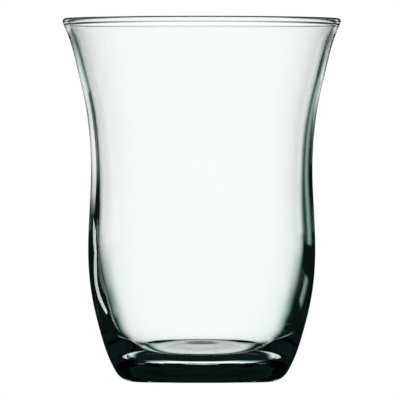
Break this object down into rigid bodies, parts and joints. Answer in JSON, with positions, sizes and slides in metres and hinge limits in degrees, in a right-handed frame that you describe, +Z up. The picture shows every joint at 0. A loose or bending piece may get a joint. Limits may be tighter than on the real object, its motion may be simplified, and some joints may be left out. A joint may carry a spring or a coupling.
{
  "type": "turkish tea glass",
  "caption": "Small clear tea glass with a flared lip, a narrow waist, a full belly and a thick rounded base, shown empty.",
  "frame": {"origin": "Middle of the underside, on the plane that the glass stands on.", "axes": "+Z up, along the glass's own axis. The glass is a surface of revolution, so +X and +Y are alike."},
  "size_m": [0.0612, 0.0612, 0.08],
  "materials": {
    "glass": "smooth, clear"
  },
  "bodies": {
    "root": {"glass": "glass"}
  },
  "joints": []
}
